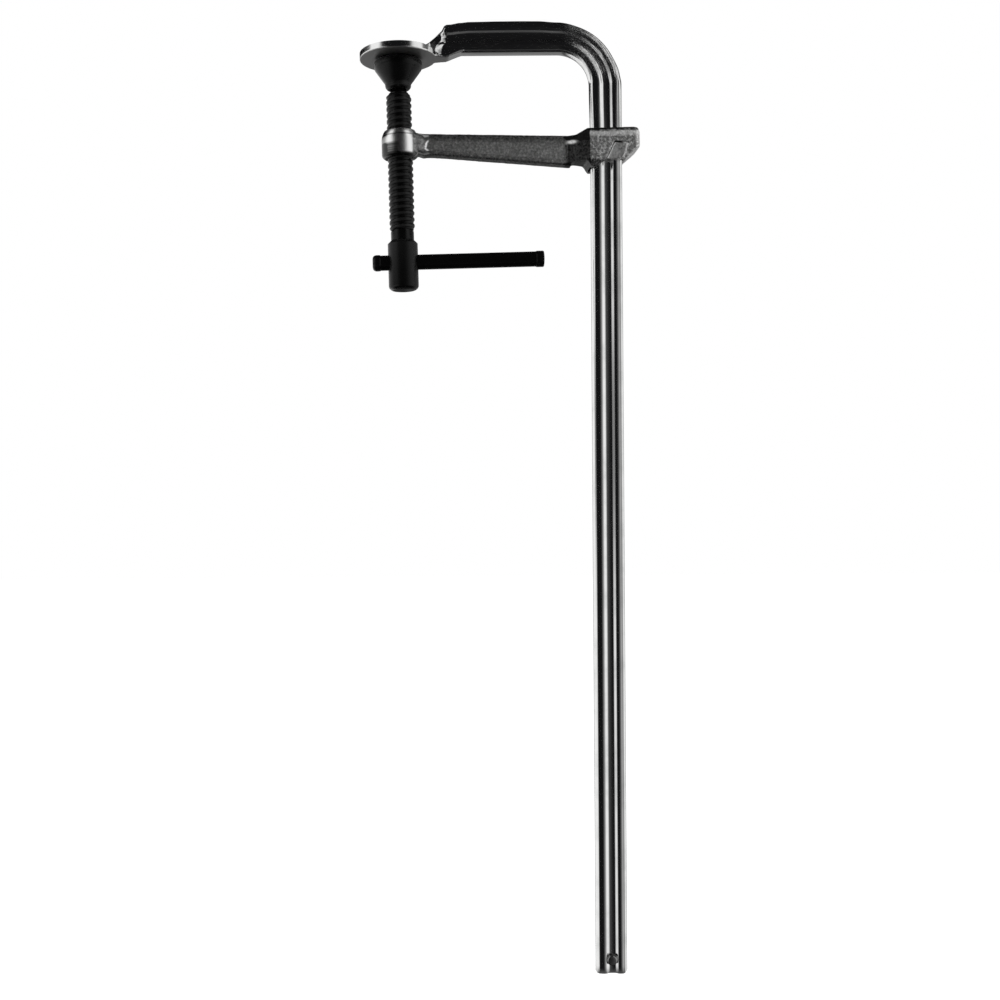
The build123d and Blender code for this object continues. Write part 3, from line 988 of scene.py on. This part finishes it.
piece("spindle_screw", spindle(), "spindle", black_steel, "spindle")
piece("tommy_handle", tommy_bar(), "tommy_bar", black_steel, "tommy_bar")
piece("pad_cone", swivel_pad(), "swivel_pad", black_steel, "swivel_pad")
piece("stop_peg", stop_pin(), "rail", wire_steel, "stop_pin")
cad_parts["pad_snap_ring"].material_slots[0].material = wire_steel


# Studio, in metres

floor_z = -0.69
floor_glow = 0.75
fill_light = 0.35
tent_radius = 1.6
tent_height = 4.8
tent_middle = (0.066, 0, 0.2)
clamp_middle = Vector((0.066, 0, -0.28))


def background_share(tree):
    """1 for what the eye, a reflection or glass sees, 0 for the light that falls on the object."""
    kinds = ("Camera", "Glossy", "Transmission")
    eye, gloss, glass = [node(tree, "ShaderNodeLightPath", output=f"Is {k} Ray") for k in kinds]
    return eye + gloss + glass


def pale_floor(tree):
    """White to the eye and in reflections, with the object's shadow left on it."""
    plain = node(tree, "ShaderNodeBsdfDiffuse", None, {"Color": (0.86, 0.86, 0.86, 1)})
    strength = background_share(tree) * floor_glow
    glow = node(tree, "ShaderNodeEmission", None, {"Strength": strength})
    return node(tree, "ShaderNodeAddShader", None, {0: plain, 1: glow})


def tent_cloth(tree):
    """Dark cloth with soft openings to the left and right, where the white backdrop shows."""
    x, y, z, _ = place(tree)
    to_right = x.math("ARCTAN2", x, y * -1) / radians(1)
    to_left = to_right * -1
    high = z.between(0.17, 0.34)
    gap = z.band(-0.75, -0.4, -0.3, -0.05)
    right = to_right.between(6 + high * 26, 80 - high * 34)
    right *= 1 - to_right.between(96 - high * 24, 116 - high * 34) * (0.5 + high * 0.4)
    right *= 1 - to_right.between(135, 168) * 0.7
    left = to_left.between(28 + high * 20, 64 - high * 2)
    left *= 1 - (to_left + high * 78).between(164, 174)
    left *= 1 - gap * (1 - to_left.between(80, 100)) * 0.75
    back = to_right.size().between(150, 172) * 0.07
    level = z.band(-1.9, -1.3, 2.0, 2.3)
    ground = z.band(-2.39, -2.34, -2.0, -1.5) * 0.1
    opening = (left + right + back) * level + ground
    dark = node(tree, "ShaderNodeEmission", None, {"Color": (0.008, 0.008, 0.0085, 1)})
    clear = node(tree, "ShaderNodeBsdfTransparent")
    return node(tree, "ShaderNodeMixShader", None, {0: opening, 1: dark, 2: clear})


def staged(name, bm, spot, material):
    """A part of the studio, which isn't part of the clamp."""
    made = body_of(name, bm)
    made.data.materials.append(material)
    made.location = spot
    return made


def floor():
    """The pale floor, which reflections don't see."""
    bm = bmesh.new()
    bmesh.ops.create_grid(bm, x_segments=1, y_segments=1, size=6)
    made = staged("floor", bm, (0, 0, floor_z), surface("pale_floor", pale_floor))
    made.visible_glossy = False


def tent():
    """A drum of cloth round the clamp, which only reflections see."""
    bm = bmesh.new()
    bmesh.ops.create_cone(
        bm, cap_ends=True, segments=96, radius1=tent_radius, radius2=tent_radius, depth=tent_height
    )
    made = staged("tent", bm, tent_middle, surface("tent_cloth", tent_cloth))
    made.visible_camera = False
    made.visible_diffuse = False
    made.visible_transmission = False
    made.visible_shadow = False


def world_light():
    """White to the eye and in reflections, and a dimmer fill on the object."""
    world = bpy.data.worlds.new("studio")
    bpy.context.scene.world = world
    world.use_nodes = True
    tree = world.node_tree
    tree.nodes.clear()
    strength = fill_light + background_share(tree) * (1 - fill_light)
    back = node(tree, "ShaderNodeBackground", None, {"Color": (1, 1, 1, 1), "Strength": strength})
    node(tree, "ShaderNodeOutputWorld", None, {"Surface": back})


def softbox(name, size, spot, watts):
    """A soft lamp aimed at the clamp's middle, which reflections don't see."""
    light = bpy.data.lights.new(name, "AREA")
    light.shape = "RECTANGLE"
    light.size, light.size_y = size
    light.energy = watts
    made = bpy.data.objects.new(name, light)
    bpy.context.scene.collection.objects.link(made)
    made.location = spot
    made.rotation_euler = (clamp_middle - Vector(spot)).to_track_quat("-Z", "Y").to_euler()
    made.visible_glossy = False


floor()
tent()
softbox("left_box", (0.8, 1.3), (-1.28, -0.52, 0.0), 5)
softbox("right_box", (0.8, 1.3), (1.25, -0.72, 0.0), 5)
softbox("high_box", (1.4, 0.8), (0.0, -0.9, 1.2), 6)
world_light()


# Camera

camera_spot = (-0.0069, -0.8116, -0.2787)
camera_roll = -0.38
camera_shift = 0.11
sensor_width = 36.0
focal_share = 1.281


def camera():
    """Level with the clamp's middle, square to its plane, rolled a little, its frame shifted."""
    lens = bpy.data.cameras.new("camera")
    lens.sensor_fit = "HORIZONTAL"
    lens.sensor_width = sensor_width
    lens.lens = sensor_width * focal_share
    lens.shift_x = camera_shift
    lens.clip_start = 0.01
    lens.clip_end = 50
    made = bpy.data.objects.new("camera", lens)
    bpy.context.scene.collection.objects.link(made)
    made.location = camera_spot
    turn = Matrix.Rotation(pi / 2, 3, "X") @ Matrix.Rotation(radians(camera_roll), 3, "Z")
    made.rotation_euler = turn.to_euler()
    bpy.context.scene.camera = made


camera()
bpy.context.scene.view_settings.view_transform = "Standard"
